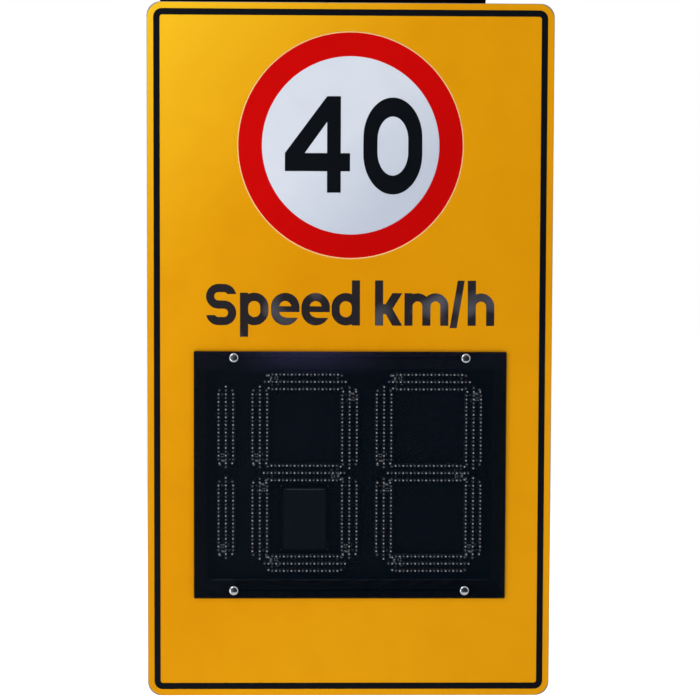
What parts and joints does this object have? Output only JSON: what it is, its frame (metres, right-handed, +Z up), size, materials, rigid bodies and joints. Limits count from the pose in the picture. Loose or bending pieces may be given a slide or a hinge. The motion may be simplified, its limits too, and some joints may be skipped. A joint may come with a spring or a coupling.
{
  "type": "solar speed sign",
  "caption": "Pole-mounted solar speed sign: yellow board with limit roundel, LED digits behind a smoked cover, rear housing with service doors, pole clamps and a tilting solar panel.",
  "frame": {"origin": "on the pole's axis, at the middle of the lower clamp's height", "axes": "+Z up the pole, the sign's face towards -Y, +X to the right as the sign is read"},
  "size_m": [0.7, 0.5408, 1.692],
  "materials": {
    "board_metal": "mill finish, slightly brushed",
    "sheeting_yellow": "retroreflective film, satin gloss",
    "ink_black": "glossy vinyl film",
    "sheeting_white": "retroreflective film",
    "sheeting_red": "retroreflective film",
    "cover_smoked": "smoked polycarbonate, glossy",
    "seal_rubber": "closed-cell foam rubber, matt",
    "dome_steel": "polished stainless steel",
    "housing_paint": "grey powder coat, fine texture",
    "door_paint": "grey powder coat, fine texture",
    "zinc_steel": "bright zinc plated",
    "plate_black": "matt black paint",
    "circuit_black": "black solder mask, satin",
    "led_clear": "clear epoxy dome",
    "led_red": "tinted epoxy dome",
    "radome_plastic": "moulded, satin",
    "circuit_green": "green solder mask, satin",
    "tray_metal": "bead blasted",
    "battery_case": "blue moulded case",
    "controller_case": "dark anodised heat sink",
    "chip_black": "moulded black",
    "nylon_black": "moulded nylon",
    "rocker_red": "moulded, glossy",
    "galvanised": "hot-dip galvanised, spangled",
    "clamp_metal": "cast, tumbled",
    "frame_black": "black anodised",
    "panel_glass": "low-iron tempered glass",
    "cell_blue": "monocrystalline silicon",
    "backsheet_white": "laminated backsheet",
    "stainless": "stainless steel"
  },
  "bodies": {
    "sign": {"face_plate": "board_metal", "face_sheeting": "sheeting_yellow", "border_line": "ink_black", "roundel_disc": "sheeting_white", "roundel_ring": "sheeting_red", "roundel_numerals": "ink_black", "legend_letters": "ink_black", "window_cover": "cover_smoked", "window_gasket": "seal_rubber", "window_fasteners": "dome_steel", "housing_gasket": "seal_rubber", "housing_sides": "housing_paint", "housing_back": "housing_paint", "housing_fasteners": "zinc_steel", "door_gaskets": "seal_rubber", "door_hinge_pins": "stainless", "hundreds_boards": "circuit_black", "tens_boards": "circuit_black", "units_boards": "circuit_black", "white_leds": "led_clear", "red_leds": "led_red", "display_plate": "plate_black", "display_fasteners": "zinc_steel", "radar_radome": "radome_plastic", "radar_antenna": "circuit_green", "radar_housing": "tray_metal", "battery_pack": "battery_case", "battery_strap": "zinc_steel", "charge_controller": "controller_case", "control_board": "circuit_green", "control_components": "chip_black", "cable_glands": "nylon_black", "vent_plug": "nylon_black", "switch_body": "nylon_black", "top_rail": "galvanised", "mid_rail": "galvanised", "lower_rail": "galvanised", "rail_bolts": "zinc_steel", "clamp_saddles": "clamp_metal", "clamp_bands": "clamp_metal", "clamp_bolts": "galvanised", "uprights": "galvanised", "upright_bolts": "zinc_steel", "pivot_bolts": "stainless"},
    "battery_door": {"battery_door": "door_paint"},
    "electronics_door": {"electronics_door": "door_paint"},
    "battery_lock": {"battery_lock": "stainless"},
    "electronics_lock": {"electronics_lock": "stainless"},
    "switch_rocker": {"switch_rocker": "rocker_red"},
    "solar_panel": {"panel_frame": "frame_black", "panel_glass": "panel_glass", "solar_cells": "cell_blue", "panel_backsheet": "backsheet_white", "junction_box": "nylon_black", "panel_rails": "tray_metal", "panel_bolts": "stainless"},
    "lower_struts": {"lower_struts": "galvanised", "strut_clamp_bolts": "stainless"},
    "upper_struts": {"upper_struts": "galvanised"}
  },
  "joints": [
    {"name": "panel_tilt", "type": "hinge", "parent": "sign", "child": "solar_panel", "pos_m": [0, -0.0675, 1.105], "axis": [1, 0, 0], "range_deg": [-30, 20]},
    {"name": "lower_strut_swing", "type": "hinge", "parent": "sign", "child": "lower_struts", "pos_m": [0, -0.0675, 0.845], "axis": [1, 0, 0], "range_deg": [-15, 10]},
    {"name": "upper_strut_swing", "type": "hinge", "parent": "solar_panel", "child": "upper_struts", "pos_m": [0, 0.11635, 1.28885], "axis": [1, 0, 0], "range_deg": [-10, 15]},
    {"name": "battery_door_swing", "type": "hinge", "parent": "sign", "child": "battery_door", "pos_m": [-0.262, -0.0514, 0.303], "axis": [0, 0, 1], "range_deg": [0, 110]},
    {"name": "electronics_door_swing", "type": "hinge", "parent": "sign", "child": "electronics_door", "pos_m": [0.262, -0.0514, 0.303], "axis": [0, 0, -1], "range_deg": [0, 110]},
    {"name": "battery_lock_turn", "type": "hinge", "parent": "battery_door", "child": "battery_lock", "pos_m": [-0.076, -0.0514, 0.28], "axis": [0, -1, 0], "range_deg": [0, 90]},
    {"name": "electronics_lock_turn", "type": "hinge", "parent": "electronics_door", "child": "electronics_lock", "pos_m": [0.076, -0.0514, 0.28], "axis": [0, 1, 0], "range_deg": [0, 90]},
    {"name": "switch_rock", "type": "hinge", "parent": "sign", "child": "switch_rocker", "pos_m": [0.16, -0.078, 0.081], "axis": [0, -1, 0], "range_deg": [0, 20]}
  ],
  "couplings": [
    {"joint": "lower_strut_swing", "follows": "panel_tilt", "ratio": 0.5},
    {"joint": "upper_strut_swing", "follows": "panel_tilt", "ratio": -0.5}
  ]
}
